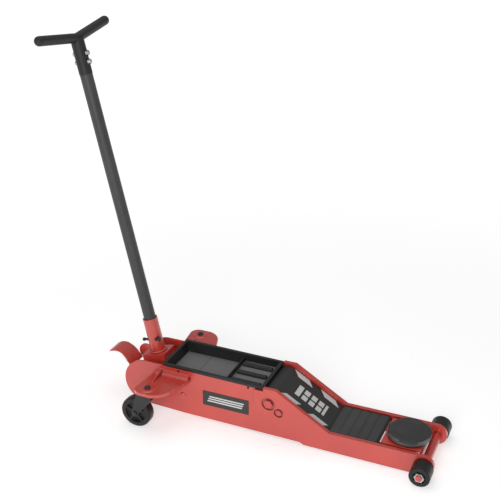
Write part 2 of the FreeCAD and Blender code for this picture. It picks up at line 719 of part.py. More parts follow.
def rim_block(index, length, width, height, z, radius):
    """A block centred on the saddle's rim, one of a ring of them."""
    turn = TURN(V(0, 0, 1), NOTCH_TURN + index * 360 / NOTCHES)
    spot = PLACE(V(d.saddle_x, 0, z), turn)
    return box(width, length, height, (radius, -length / 2, 0), spot)


cup_notches = [rim_block(i, NOTCH_LENGTH, 30, 10, CUP_FLOOR, d.saddle_radius - 20)
               for i in range(NOTCHES)]
circlip_groove = cut(rod(d.stem_radius + 2, 2, (d.saddle_x, 0, STEM_LOW + 1.5), ALONG_Z),
                     rod(d.stem_radius - 1.5, 2, (d.saddle_x, 0, STEM_LOW + 1.5), ALONG_Z))
keep(cut(cup_blank, *cup_notches, circlip_groove), "saddle_cup")

pad_disc = rod(d.saddle_radius - 4.2, "dims.saddle_top - 73", (d.saddle_x, 0, CUP_FLOOR),
               ALONG_Z)
pad_lugs = [
    rim_block(i, NOTCH_LENGTH - 0.6, 30, d.saddle_top - CUP_FLOOR, CUP_FLOOR,
              d.saddle_radius - 22)
    for i in range(NOTCHES)
]
pad_trim = doc.addObject("Part::MultiCommon", "pad_trim")
pad_trim.Shapes = [
    fuse(pad_disc, *pad_lugs),
    rod(d.saddle_radius - 0.3, 20, (d.saddle_x, 0, CUP_FLOOR - 5), ALONG_Z)]
keep(pad_trim, "saddle_pad")

keep(cut(rod(d.stem_radius + 4, 1.8, (d.saddle_x, 0, STEM_LOW + 1.6), ALONG_Z),
         rod(d.stem_radius - 1.5, 4, (d.saddle_x, 0, STEM_LOW), ALONG_Z),
         box(10, 12, 4, (d.saddle_x + 10, -6, STEM_LOW))), "saddle_circlip")


# ---------------------------------------------------------------- front rollers

def roller(side):
    """Solid roller with a counterbore for its nut and a short hub against the chassis."""
    bore = d.axle_radius + 0.06
    face = d.roller_out
    outline = [
        (12.5, FRONT_OUTER + 0.3), (12.5, d.roller_in), (d.roller_radius - 2, d.roller_in),
        (d.roller_radius, d.roller_in + 2), (d.roller_radius, face - 2),
        (d.roller_radius - 2, face), (18, face), (18, NUT_START - 0.3),
        (bore, NUT_START - 0.3),
    ]
    turn = ALONG_Y if side > 0 else TURN(V(1, 0, 0), 90)
    return lathe((bore, FRONT_OUTER + 0.3), outline, (d.axle_x, 0, d.axle_z), turn)


keep(roller(1), "roller_l")
keep(roller(-1), "roller_r")


# ---------------------------------------------------------------- rear casters

WHEEL_X = d.caster_x - d.caster_trail
FORK_TOP = 117
FORK_IN = d.caster_width / 2 + 0.8
FORK_WALL = 3


def caster_fork(side):
    """Pressed fork: round bearing head, flat crown and two legs down to the axle."""
    y = side * d.caster_y
    under_shelf = d.shelf_top - d.shelf_thick
    head = cone(21, 15, under_shelf - 0.3 - FORK_TOP, (d.caster_x, y, FORK_TOP))
    crown_y = y - FORK_IN - FORK_WALL
    crown = box(50, 2 * (FORK_IN + FORK_WALL), 4, (d.caster_x - 29, crown_y, FORK_TOP - 4))
    legs = []
    for edge in (y + FORK_IN + FORK_WALL, y - FORK_IN):
        legs.append(plate(
            (d.caster_x - 29, FORK_TOP - 2),
            [(d.caster_x + 21, FORK_TOP - 2), (d.caster_x + 17, 98),
             (WHEEL_X + 11, d.caster_radius), ((WHEEL_X, d.caster_radius - 11),
                                               (WHEEL_X - 11, d.caster_radius))],
            FORK_WALL, edge))
    bores = [rod(6.05, 40, (d.caster_x, y, 95), ALONG_Z),
             rod(5, 60, (WHEEL_X, y - 30, d.caster_radius))]
    return cut(fuse(head, crown, *legs), *bores)


def caster_wheel(side):
    """Moulded wheel: rounded tread, dished web and hub."""
    half = d.caster_width / 2
    big = d.caster_radius
    half_side = [(5.06, half), (11, half), (13, half - 3), (30, half - 5), (34, half - 1),
                 (38, half), (big - 2, half - 2)]
    moves = [(radius, along) for radius, along in half_side[1:]]
    moves += [((big, 0), (big - 2, -half + 2))]
    moves += [(radius, -along) for radius, along in reversed(half_side[:-1])]
    return lathe(half_side[0], moves, (WHEEL_X, side * d.caster_y, d.caster_radius))


def caster_axle(side):
    reach = FORK_IN + FORK_WALL
    y = side * d.caster_y
    return fuse(rod(5, 2 * reach, (WHEEL_X, y - reach, d.caster_radius)),
                hexagon(15, 4, (WHEEL_X, y - reach - 4, d.caster_radius)),
                hexagon(15, 4, (WHEEL_X, y + reach, d.caster_radius)))


for side, letter in ((1, "l"), (-1, "r")):
    keep(caster_fork(side), "caster_fork_" + letter)
    keep(caster_wheel(side), "caster_wheel_" + letter)
    keep(caster_axle(side), "caster_axle_" + letter)


# ---------------------------------------------------------------- handle

CRANK_X = 0 - d.crank * math.sin(math.radians(d.lean))
CRANK_S = -d.crank * math.cos(math.radians(d.lean))
CHEEK_RADIUS = 36


def handle_yoke():
    """Fabricated yoke: top plate and two cheeks that hang on the stub pins."""
    half = d.yoke_length / 2
    low_side = math.sqrt(CHEEK_RADIUS ** 2 - 30 ** 2)
    blank = plate(
        (-half, d.yoke_top),
        [(half, d.yoke_top), (half, 40), (30, low_side), ((0, -CHEEK_RADIUS), (-30, low_side)),
         (-half, 40)],
        "dims.yoke_width", d.yoke_width / 2, frame=HANDLE)
    hollow = box(d.yoke_length + 4, "dims.yoke_width - 2 * dims.yoke_wall", 114,
                 (-half - 2, -d.yoke_width / 2 + d.yoke_wall, -47), HANDLE)
    bores = [
        rod("dims.yoke_pin_radius + dims.bush_clear", 80, (0, -40, 0), frame=HANDLE),
        rod(8, 20, (0, 0, 60), ALONG_Z, HANDLE),
        rod(4, 14, (CRANK_X, d.yoke_width / 2 - 8, CRANK_S), frame=HANDLE),
    ]
    return cut(blank, hollow, *bores)


keep(handle_yoke(), "handle_yoke")


def handle_socket():
    """Socket tube welded on the yoke, drilled and notched for the retaining bolt."""
    length = d.socket_top - d.yoke_top
    wall = rod("dims.socket_radius", length, (0, 0, d.yoke_top), ALONG_Z, HANDLE)
    weld = cone(d.socket_radius + 4.5, d.socket_radius, 5, (0, 0, d.yoke_top), ALONG_Z, HANDLE)
    bore = rod("dims.socket_bore", length + 2, (0, 0, d.yoke_top - 1), ALONG_Z, HANDLE)
    bolt_hole = rod(4, 80, (-40, d.bolt_y, d.bolt_s), ALONG_X, HANDLE)
    notch = box(14, 12, 9, (10, -24, d.bolt_s - 4.5), HANDLE)
    return cut(cut(fuse(wall, weld), bore), bolt_hole, notch)


keep(handle_socket(), "handle_socket")
keep(fuse(rod(3.95, 54, (-28, d.bolt_y, d.bolt_s), ALONG_X, HANDLE),
          ball(5.5, (-29, d.bolt_y, d.bolt_s), HANDLE),
          hexagon(14, 6, (20.5, d.bolt_y, d.bolt_s), ALONG_X, HANDLE)), "retaining_bolt")

roller_in = 12
roller_blank = rod("dims.crank_roller", 13, (CRANK_X, roller_in, CRANK_S), frame=HANDLE)
roller_pin = rod(4, d.yoke_width / 2 - roller_in, (CRANK_X, roller_in, CRANK_S), frame=HANDLE)
keep(fuse(roller_blank, roller_pin), "pump_roller")

PLUG_LOW = 80
GROOVE_RADIUS = 12
GROOVE_HALF = 4.5
plug = lathe(
    (0, -9),
    [((9, 0), (6, 6.7082)), (6, PLUG_LOW), (d.tube_radius, PLUG_LOW),
     (d.tube_radius, d.bolt_s - GROOVE_HALF), (GROOVE_RADIUS, d.bolt_s - GROOVE_HALF),
     (GROOVE_RADIUS, d.bolt_s + GROOVE_HALF), (d.tube_radius, d.bolt_s + GROOVE_HALF),
     (d.tube_radius, d.tube_start), (d.tube_bore - 0.05, d.tube_start),
     (d.tube_bore - 0.05, d.tube_start + 30), (0, d.tube_start + 30)],
    (0, 0, 0), ALONG_Z, HANDLE)
keep(plug, "handle_plug")

GRIP_BOLTS = (d.junction - 43, d.junction - 67)
bolt_holes = [rod(3.5, 60, (-30, 0, s), ALONG_X, HANDLE) for s in GRIP_BOLTS]
tube_top = d.junction - d.grip_radius - 2
tube_wall = rod("dims.tube_radius", tube_top - d.tube_start, (0, 0, d.tube_start),
                ALONG_Z, HANDLE)
tube_bore = rod("dims.tube_bore", tube_top - d.tube_start + 2, (0, 0, d.tube_start - 1),
                ALONG_Z, HANDLE)
keep(cut(tube_wall, tube_bore, *bolt_holes), "handle_tube")


def grip_arm(side):
    """One arm of the T-grip, rising outwards and a little back to a round end."""
    reach = V(-d.grip_sweep, side * d.grip_half, d.grip_rise)
    tip = V(0, 0, d.junction) + reach
    return [rod("dims.grip_radius", reach.Length, (0, 0, d.junction),
                TURN(V(0, 0, 1), reach), HANDLE),
            ball("dims.grip_radius", tuple(tip), HANDLE)]


grip = keep(fuse(*grip_arm(1), *grip_arm(-1), ball("dims.grip_radius", (0, 0, d.junction),
                                                   HANDLE)), "grip_bars")
sleeve_low = d.junction - d.sleeve_length
sleeve_wall = rod("dims.sleeve_radius", "dims.sleeve_length", (0, 0, sleeve_low),
                  ALONG_Z, HANDLE)
sleeve_bore = rod("dims.tube_radius", d.sleeve_length - d.grip_radius - 1,
                  (0, 0, sleeve_low - 1), ALONG_Z, HANDLE)
keep(cut(sleeve_wall, sleeve_bore, *bolt_holes, grip), "grip_sleeve")

grip_bolts = []
for s in GRIP_BOLTS:
    grip_bolts.append(fuse(
        rod(3.5, 49, (-22, 0, s), ALONG_X, HANDLE),
        hexagon(13, 5, (-d.sleeve_radius - 5.1, 0, s), ALONG_X, HANDLE),
        hexagon(15, 7, (d.sleeve_radius + 0.1, 0, s), ALONG_X, HANDLE)))
keep(group(*grip_bolts), "grip_bolts")

# Release spindle: a cupped end round the plug's ball, then a stem into the pump block.
spindle = fuse(rod(9, 30, (0, 0, 5), ALONG_Z, SPINDLE),
               rod(SPINDLE_RADIUS, SPINDLE_END - 20, (0, 0, 20), ALONG_Z, SPINDLE))
keep(cut(spindle, ball(9.3, (0, 0, 0), SPINDLE)), "release_spindle")


# ---------------------------------------------------------------- foot pedal

def foot_pedal():
    """Curved tread between two arms, with a nose that pushes the quick plunger."""
    arm_in, arm_thick = 34.5, 5
    tread_half = arm_in + 0.5
    eye_x, eye_z = d.yoke_x, d.yoke_z
    left_start, left_moves = capsule(eye_x, eye_z, 18, -388, 118, 25)
    right_start, right_moves = capsule(eye_x, eye_z, 18, -396, 98, 14)
    nose_start, nose_moves = capsule(eye_x, eye_z, 9, eye_x, eye_z - d.crank, 9)
    arms = [plate(left_start, left_moves, arm_thick, arm_in + arm_thick),
            plate(right_start, right_moves, arm_thick, -arm_in)]
    nose = plate(nose_start, nose_moves, arm_thick, -arm_in)
    tread = plate(
        (-405, 92),
        [(-400, 96.5), (-424, 124), ((-436, 134), (-453, 139.6)), ((-469, 138.6), (-484, 131)),
         (-482.4, 126.6), ((-468, 134), (-453, 135)), ((-439, 130), (-428.5, 121))],
        2 * tread_half, tread_half)
    side_cuts = []
    for edge in (31, -51):
        side_cuts.append(box(68, 20, 60, (-500, edge, 110)))
    bore = rod("dims.yoke_pin_radius + dims.bush_clear", 90, (eye_x, -45, eye_z))
    return cut(fuse(cut(tread, *side_cuts), *arms, nose), bore)


keep(foot_pedal(), "foot_pedal")


# ---------------------------------------------------------------- checks and export

doc.recompute()
for obj in doc.Objects:
    faults = [word for word in obj.State if word in ("Invalid", "Error")]
    if faults:
        raise RuntimeError(f"{obj.Label} ({obj.TypeId}) did not build: {faults}")
labels = [obj.Label for obj in nodes]
if len(set(labels)) != len(labels) or len(labels) > 60:
    raise RuntimeError(f"{len(labels)} nodes, {len(set(labels))} different names")
for obj in nodes:
    if obj.Shape.isNull() or not obj.Shape.isValid():
        raise RuntimeError(f"{obj.Label} has no valid shape")

os.makedirs("parts", exist_ok=True)
for obj in nodes:
    obj.Shape.exportStep(f"parts/{obj.Label}.step")
    print(f"{obj.Label:20s} {len(obj.Shape.Solids):2d} solids {obj.Shape.Volume / 1000:10.2f} cm3")
print(len(nodes), "nodes")
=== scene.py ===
"""Looks of a long-chassis trolley jack: its paint, plastic and rubber, and the finer pieces.

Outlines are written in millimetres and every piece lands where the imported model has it.
"""
import json
import math

import bmesh
import bpy
from mathutils import Matrix, Vector


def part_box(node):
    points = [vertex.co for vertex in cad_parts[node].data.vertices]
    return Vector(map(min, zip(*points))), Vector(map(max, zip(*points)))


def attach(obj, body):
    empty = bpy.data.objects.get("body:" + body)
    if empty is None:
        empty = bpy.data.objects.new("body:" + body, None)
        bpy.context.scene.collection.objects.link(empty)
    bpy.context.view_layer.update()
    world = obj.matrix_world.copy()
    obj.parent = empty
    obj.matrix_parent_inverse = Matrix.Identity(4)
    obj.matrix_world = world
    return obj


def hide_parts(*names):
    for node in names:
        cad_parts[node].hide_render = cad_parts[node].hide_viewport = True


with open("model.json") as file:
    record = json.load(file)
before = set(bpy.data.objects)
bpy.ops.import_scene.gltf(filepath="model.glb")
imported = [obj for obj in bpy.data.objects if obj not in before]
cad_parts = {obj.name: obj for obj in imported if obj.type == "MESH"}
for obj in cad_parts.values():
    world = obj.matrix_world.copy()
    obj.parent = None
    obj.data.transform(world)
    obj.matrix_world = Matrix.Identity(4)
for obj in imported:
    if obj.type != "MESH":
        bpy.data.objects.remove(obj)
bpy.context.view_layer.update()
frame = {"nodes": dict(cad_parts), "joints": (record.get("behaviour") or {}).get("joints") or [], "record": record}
RECORD = frame["record"]
MM = 0.001


# ---------------------------------------------------------------- finishes

class Wire:
    """A node's output that takes part in sums as a number does."""

    def __init__(self, finish, socket):
        self.finish = finish
        self.socket = socket

    def sum(self, operation, first, second):
        return self.finish.add("ShaderNodeMath", {"operation": operation}, {0: first, 1: second})

    def __add__(self, other):
        return self.sum("ADD", self, other)

    def __radd__(self, other):
        return self.sum("ADD", other, self)

    def __sub__(self, other):
        return self.sum("SUBTRACT", self, other)

    def __rsub__(self, other):
        return self.sum("SUBTRACT", other, self)

    def __mul__(self, other):
        return self.sum("MULTIPLY", self, other)

    def __rmul__(self, other):
        return self.sum("MULTIPLY", other, self)

    def between(self, low, high):
        """Nought below low, one above high, and a soft step from one to the other."""
        return self.finish.add("ShaderNodeMapRange", {"interpolation_type": "SMOOTHSTEP"},
                               {0: self, 1: low, 2: high})


class Finish:
    """One finish of the jack: a material whose nodes all come from add()."""

    def __init__(self, name, constants):
        self.material = bpy.data.materials.new(name)
        self.material.use_nodes = True
        self.tree = self.material.node_tree
        self.shader = self.tree.nodes["Principled BSDF"]
        for socket, value in constants.items():
            self.shader.inputs[socket].default_value = value
        self.place = self.add("ShaderNodeTexCoord", output="Object")

    def add(self, kind, settings=None, sockets=None, output=0):
        node = self.tree.nodes.new(kind)
        for name, value in (settings or {}).items():
            setattr(node, name, value)
        for name, value in (sockets or {}).items():
            self.join(node.inputs[name], value)
        return Wire(self, node.outputs[output])

    def join(self, socket, value):
        if isinstance(value, Wire):
            self.tree.links.new(value.socket, socket)
        else:
            socket.default_value = value

    def noise(self, scale, detail=3.0, rough=0.55, stretch=(1, 1, 1)):
        spot = self.add("ShaderNodeVectorMath", {"operation": "MULTIPLY"},
                        {0: self.place, 1: stretch})
        return self.add("ShaderNodeTexNoise", None,
                        {"Vector": spot, "Scale": scale, "Detail": detail, "Roughness": rough})

    def cells(self, scale, feature="F1"):
        return self.add("ShaderNodeTexVoronoi", {"feature": feature},
                        {"Vector": self.place, "Scale": scale}, output="Distance")

    def mix(self, mask, first, second):
        """Colour: first where the mask is nought, second where it is one."""
        return self.add("ShaderNodeMix", {"data_type": "RGBA"},
                        {0: mask, 6: first, 7: second}, output=2)

    def sunk_floor(self, low, high):
        """One on faces that look up from below the given heights, in metres."""
        facing = self.add("ShaderNodeNewGeometry", output="True Normal")
        height, up = (self.add("ShaderNodeSeparateXYZ", None, {"Vector": wire}, output="Z")
                      for wire in (self.place, facing))
        return up.between(0.75, 0.95) * (1 - height.between(low, high))

    def round_edges(self, width):
        """The surface's normal with its hard edges rounded over, and where those edges are."""
        soft = self.add("ShaderNodeBevel", {"samples": 6}, {"Radius": width})
        hard = self.add("ShaderNodeNewGeometry", output="Normal")
        same = self.add("ShaderNodeVectorMath", {"operation": "DOT_PRODUCT"},
                        {0: soft, 1: hard}, output="Value")
        return soft, 1 - same

    def crevice_shade(self, reach):
        """Painted shade: one deep in a seam or corner, nought on an open face."""
        open_sky = self.add("ShaderNodeAmbientOcclusion", {"samples": 6}, {"Distance": reach},
                            output="AO")
        return (1 - open_sky).between(0.1, 0.55)

    def bumps(self, height, depth, normal):
        return self.add("ShaderNodeBump", None,
                        {"Height": height, "Distance": depth, "Normal": normal})

    def wear(self, colour, rough, normal, **more):
        """Join what changes over the surface to the shader."""
        self.join(self.shader.inputs["Base Color"], colour)
        self.join(self.shader.inputs["Roughness"], rough)
        self.join(self.shader.inputs["Normal"], normal)
        for socket, value in more.items():
            self.join(self.shader.inputs[socket.replace("_", " ")], value)
        return self.material


def colour(red, green, blue):
    return (red, green, blue, 1.0)


def gloss_paint(name, body, deep, primer, chip):
    """Sprayed enamel: slight orange peel, thinner and darker in places, chipped on edges, with painted shade in
    its seams and corners.
    """
    paint = Finish(name, {"Coat Weight": 0.8, "Coat Roughness": 0.14, "Coat IOR": 1.5,
                          "Specular IOR Level": 0.7})
    soft, edge = paint.round_edges(0.0012)
    drift = paint.noise(9.0, 4.0).between(0.32, 0.68)
    speck = paint.noise(420.0, 2.0).between(0.66, 0.74)
    tone = paint.mix(drift, colour(*body), colour(*deep))
    tone = paint.mix(speck * 0.12, tone, colour(*primer))
    ragged = paint.noise(150.0, 5.0, 0.7).between(0.5, 0.62)
    chipped = edge.between(0.05, 0.3) * ragged * chip
    tone = paint.mix(chipped, tone, colour(*primer))
    # Painted shade: seams and corners of the enamel darkened toward a near-black red.
    tone = paint.mix(paint.crevice_shade(0.010) * 0.75, tone, colour(0.09, 0.008, 0.006))
    rough = 0.3 + drift * 0.07 + paint.noise(60.0, 4.0) * 0.1 + chipped * 0.25
    peel = paint.noise(330.0, 2.0, 0.4) * 0.8 + paint.noise(1400.0, 1.0) * 0.2
    return paint.wear(tone, rough, paint.bumps(peel, 0.00008, soft))


def satin_black(name, body, pale, rough_low, texture, scratch):
    """Black powder coat or oxide: fine texture, rubbed pale along its edges."""
    black = Finish(name, {"Specular IOR Level": 0.4})
    soft, edge = black.round_edges(0.0009)
    drift = black.noise(14.0, 5.0).between(0.3, 0.75)
    fine = black.noise(900.0, 2.0, 0.5)
    tone = black.mix(drift, colour(*body), colour(*pale))
    rubbed = edge.between(0.06, 0.35) * black.noise(90.0, 4.0, 0.7).between(0.38, 0.62)
    tone = black.mix(rubbed * scratch, tone, colour(0.2, 0.2, 0.2))
    rough = rough_low + drift * 0.12 + fine * 0.1
    return black.wear(tone, rough, black.bumps(fine, texture, soft))


def plated(name, body, stain, rough_low, lines):
    """Bare or plated metal: fine turning lines and a cloudy tarnish."""
    metal = Finish(name, {"Metallic": 1.0})
    soft, edge = metal.round_edges(0.0007)
    cloud = metal.noise(35.0, 5.0, 0.65).between(0.35, 0.7)
    tone = metal.mix(cloud, colour(*body), colour(*stain))
    tone = metal.mix(edge.between(0.05, 0.3) * 0.5, tone, colour(0.85, 0.85, 0.84))
    grain = metal.noise(240.0, 3.0, 0.6, (1, 9, 1))
    rough = rough_low + cloud * 0.16 + grain * 0.1
    return metal.wear(tone, rough, metal.bumps(grain, lines, soft))


def cast_iron(name, body, pale):
    """Painted rough casting with pits."""
    iron = Finish(name, {"Metallic": 0.35})
    soft, edge = iron.round_edges(0.0016)
    pits = iron.cells(520.0)
    cloud = iron.noise(30.0, 5.0).between(0.3, 0.7)
    tone = iron.mix(cloud, colour(*body), colour(*pale))
    tone = iron.mix(edge.between(0.08, 0.4) * 0.4, tone, colour(0.3, 0.29, 0.28))
    return iron.wear(tone, 0.5 + cloud * 0.2, iron.bumps(pits, 0.0003, soft))


def moulded(name, body, pale, rough_low, grain, grain_depth, scuff, shine=0.3, floor_sheen=0.0):
    """Moulded plastic or rubber: leathery grain, dusty bloom, scuffs on the high edges, and on request a painted
    sheen on sunk floors.
    """
    mould = Finish(name, {"Specular IOR Level": shine})
    soft, edge = mould.round_edges(0.0014)
    leather = mould.cells(grain, "SMOOTH_F1")
    bloom = mould.noise(11.0, 5.0, 0.6).between(0.35, 0.75)
    dust = mould.noise(700.0, 2.0).between(0.6, 0.75)
    tone = mould.mix(bloom, colour(*body), colour(*pale))
    tone = mould.mix(dust * 0.1, tone, colour(0.3, 0.3, 0.29))
    # Painted sheen: faces that look up from low in the tray floor lightened toward grey.
    if floor_sheen:
        tone = mould.mix(mould.sunk_floor(0.140, 0.146) * floor_sheen, tone,
                         colour(0.26, 0.26, 0.26))
    scuffed = edge.between(0.04, 0.3) * mould.noise(120.0, 4.0, 0.7).between(0.35, 0.65)
    tone = mould.mix(scuffed * scuff, tone, colour(0.22, 0.22, 0.22))
    rough = rough_low + bloom * 0.12 + leather * 0.08
    return mould.wear(tone, rough, mould.bumps(leather, grain_depth, soft))


def printed(name, body, dirt, rough_low):
    """Printed vinyl: flat ink with a faint grain and rubbed spots."""
    vinyl = Finish(name, {"Coat Weight": 0.25, "Coat Roughness": 0.25})
    soft, _ = vinyl.round_edges(0.0004)
    rub = vinyl.noise(85.0, 5.0, 0.7).between(0.55, 0.75)
    grain = vinyl.noise(1200.0, 2.0)
    tone = vinyl.mix(rub * 0.5, colour(*body), colour(*dirt))
    rough = rough_low + grain * 0.15 + rub * 0.1
    return vinyl.wear(tone, rough, vinyl.bumps(grain, 0.00004, soft))


RED = (0.61, 0.042, 0.024)
RED_DEEP = (0.55, 0.034, 0.021)
PRIMER = (0.30, 0.05, 0.04)
FINISHES = {
    "red_paint": gloss_paint("red_enamel", RED, RED_DEEP, PRIMER, 0.35),
    "red_bolt": gloss_paint("red_enamel_on_bolts", RED, RED_DEEP, (0.35, 0.12, 0.1), 0.8),
    "dark_steel": satin_black("black_oxide", (0.022, 0.022, 0.022), (0.04, 0.04, 0.038),
                              0.36, 0.00006, 0.7),
    "black_paint": satin_black("black_powder_coat", (0.02, 0.02, 0.02), (0.033, 0.033, 0.033),
                               0.4, 0.00012, 0.5),
    "handle_black": satin_black("handle_coat", (0.042, 0.043, 0.043), (0.056, 0.056, 0.056),
                                0.36, 0.0001, 0.3),
    "black_clip": moulded("clip_plastic", (0.012, 0.012, 0.012), (0.02, 0.02, 0.02),
                          0.45, 900.0, 0.0001, 0.2),
    "zinc": plated("zinc_plate", (0.62, 0.62, 0.6), (0.42, 0.42, 0.4), 0.28, 0.00005),
    "steel": plated("turned_steel", (0.5, 0.5, 0.5), (0.33, 0.32, 0.31), 0.3, 0.00008),
    "chrome_rod": plated("hard_chrome", (0.78, 0.78, 0.78), (0.66, 0.66, 0.67), 0.1, 0.00001),
    "saddle_metal": cast_iron("saddle_casting", (0.12, 0.12, 0.125), (0.19, 0.19, 0.195)),
    "cast": cast_iron("pump_casting", (0.05, 0.05, 0.05), (0.09, 0.09, 0.088)),
    "tray_plastic": moulded("tray_plastic", (0.014, 0.014, 0.014), (0.022, 0.022, 0.022),
                            0.38, 820.0, 0.0001, 0.3, 0.4, 0.75),
    "rubber": moulded("grip_rubber", (0.010, 0.010, 0.010), (0.016, 0.016, 0.016),
                      0.55, 1000.0, 0.00015, 0.2, 0.15),
    "tread_rubber": moulded("tread_rubber", (0.058, 0.058, 0.058), (0.075, 0.075, 0.075),
                            0.55, 900.0, 0.00018, 0.3),
    "saddle_rubber": moulded("saddle_rubber", (0.046, 0.047, 0.046), (0.066, 0.066, 0.065),
                             0.56, 700.0, 0.0002, 0.35),
    "wheel_black": moulded("wheel_nylon", (0.012, 0.012, 0.012), (0.026, 0.026, 0.026),
                           0.33, 600.0, 0.0001, 0.4),
    "label": printed("label_black", (0.02, 0.02, 0.019), (0.05, 0.05, 0.05), 0.42),
}
LABEL_WHITE = printed("label_white", (0.66, 0.66, 0.66), (0.5, 0.5, 0.49), 0.4)

GRIP_COAT = satin_black("grip_coat", (0.012, 0.012, 0.012), (0.018, 0.018, 0.018), 0.45,
                        0.0001, 0.25)

for part in RECORD["subparts"]:
    mesh = frame["nodes"][part["node"]].data
    mesh.materials.clear()
    on_grip = part["node"] in ("grip_bars", "grip_sleeve")
    mesh.materials.append(GRIP_COAT if on_grip else FINISHES[part["material_slot"]])


# ---------------------------------------------------------------- shaping

def new_piece(name, body, slot, shape, stands_for=(), crease=35, finish=None):
    """A finished shape, in millimetres, as a piece that rides on a body of the jack."""
    bmesh.ops.scale(shape, vec=(MM, MM, MM), verts=shape.verts)
    bmesh.ops.recalc_face_normals(shape, faces=shape.faces)
    mesh = bpy.data.meshes.new(name)
    shape.to_mesh(mesh)
    shape.free()
    for face in mesh.polygons:
        face.use_smooth = True
    mesh.set_sharp_from_angle(angle=math.radians(crease))
    mesh.materials.append(finish or FINISHES[slot])
    piece = bpy.data.objects.new(name, mesh)
    bpy.context.scene.collection.objects.link(piece)
    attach(piece, body)
    if stands_for:
        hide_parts(*stands_for)
    return piece


def soften_corners(shape, edges, width, rounds=2):
    bmesh.ops.bevel(shape, geom=list(edges), offset=width, segments=rounds, affect="EDGES",
                    profile=0.6, clamp_overlap=True)


def hard_edges(shape, degrees=30):
    return [e for e in shape.edges
            if len(e.link_faces) == 2 and e.calc_face_angle(0) > math.radians(degrees)]


def slab(shape, outline, low, high, place=None, bevel=0.0):
    """A flat outline pushed from low to high along its own third axis."""
    block = bmesh.new()
    floor = [block.verts.new((x, y, low)) for x, y in outline]
    roof = [block.verts.new((x, y, high)) for x, y in outline]
    block.faces.new(floor[::-1])
    block.faces.new(roof)
    for i in range(len(outline)):
        j = (i + 1) % len(outline)
        block.faces.new((floor[i], floor[j], roof[j], roof[i]))
    bmesh.ops.recalc_face_normals(block, faces=block.faces)
    if bevel:
        soften_corners(block, hard_edges(block), bevel)
    add_to(shape, block, place)


def add_to(shape, block, place):
    block.transform(place or Matrix())
    spare = bpy.data.meshes.new("spare")
    block.to_mesh(spare)
    block.free()
    shape.from_mesh(spare)
    bpy.data.meshes.remove(spare)


def turned(shape, outline_at, place, steps=72, closed=True):
    """Rings of points round the third axis; outline_at gives (radius, height) pairs there."""
    block = bmesh.new()
    rings = []
    for step in range(steps):
        angle = step * math.tau / steps
        rings.append([block.verts.new((r * math.cos(angle), r * math.sin(angle), h))
                      for r, h in outline_at(angle)])
    count = len(rings[0])
    for step in range(steps):
        here, there = rings[step], rings[(step + 1) % steps]
        for i in range(count if closed else count - 1):
            j = (i + 1) % count
            block.faces.new((here[i], there[i], there[j], here[j]))
    bmesh.ops.remove_doubles(block, verts=block.verts, dist=1e-4)
    add_to(shape, block, place)


def rounded(points, radius, rounds=3):
    """An outline with each sharp corner turned into a short curve."""
    out = []
    for i, here in enumerate(points):
        here = Vector(here)
        before, after = Vector(points[i - 1]), Vector(points[(i + 1) % len(points)])
        cut = min(radius, (before - here).length * 0.45, (after - here).length * 0.45)
        start = here + (before - here).normalized() * cut
        end = here + (after - here).normalized() * cut
        for k in range(rounds + 1):
            t = k / rounds
            out.append(tuple(start * (1 - t) ** 2 + here * 2 * t * (1 - t) + end * t * t))
    return out


def round_about(cx, cz, radius, start, end, steps):
    angles = [math.radians(start + (end - start) * i / steps) for i in range(steps + 1)]
    return [(cx + radius * math.cos(a), cz + radius * math.sin(a)) for a in angles]


def two_circles(ax, az, ra, bx, bz, rb, steps=20):
    """The outline round two circles and the lines that touch both."""
    heading = math.degrees(math.atan2(bz - az, bx - ax))
    spread = math.degrees(math.acos((ra - rb) / math.hypot(bx - ax, bz - az)))
    return (round_about(ax, az, ra, heading + spread, heading + 360 - spread, steps)
            + round_about(bx, bz, rb, heading - spread, heading + spread, steps))


# A side view drawn in (x, z) and pushed along y, and a shape turned about y.
SIDE_VIEW = Matrix(((1, 0, 0, 0), (0, 0, -1, 0), (0, 1, 0, 0), (0, 0, 0, 1)))


def at(x, y, z):
    return Matrix.Translation((x, y, z))


def box_mm(node):
    low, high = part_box(node)
    return low / MM, high / MM


def joint_spot(name):
    joint = next(j for j in frame["joints"] if j["name"] == name)
    return Vector(joint["pos_m"]) / MM


# ---------------------------------------------------------------- rear casters

def caster_wheel(letter):
    """Nylon wheel: round tread, sunk web with five ribs a side, and a hub."""
    low, high = box_mm("caster_wheel_" + letter)
    centre = (low + high) / 2
    big, half = (high.x - low.x) / 2, (high.y - low.y) / 2
    face = [(5.2, half), (11.5, half), (12.6, half - 1), (13.4, 7.2), (30, 6.6), (31.6, 8),
            (32.4, half - 1.2), (33.6, half - 0.2), (38, half - 0.2), (big - 2.6, half - 1.2),
            (big - 0.9, half - 3.2), (big, half - 6.5)]
    ring = face + [(r, -y) for r, y in reversed(face)]
    shape = bmesh.new()
    place = at(*centre) @ Matrix.Rotation(math.radians(90), 4, "X")
    turned(shape, lambda angle: ring, place, steps=96)
    for side in (1, -1):
        for rib in range(5):
            spin = Matrix.Rotation(rib * math.tau / 5 + 0.3, 4, "Z")
            flip = Matrix.Rotation(math.radians(0 if side > 0 else 180), 4, "X")
            slab(shape, [(11, -2.6), (33, -4.2), (33, 4.2), (11, 2.6)], 6, half - 2.6,
                 place @ flip @ spin, bevel=0.9)
    return new_piece("wheel_" + letter, "wheel_" + letter, "wheel_black", shape,
                     ["caster_wheel_" + letter])


for letter in "lr":
    caster_wheel(letter)


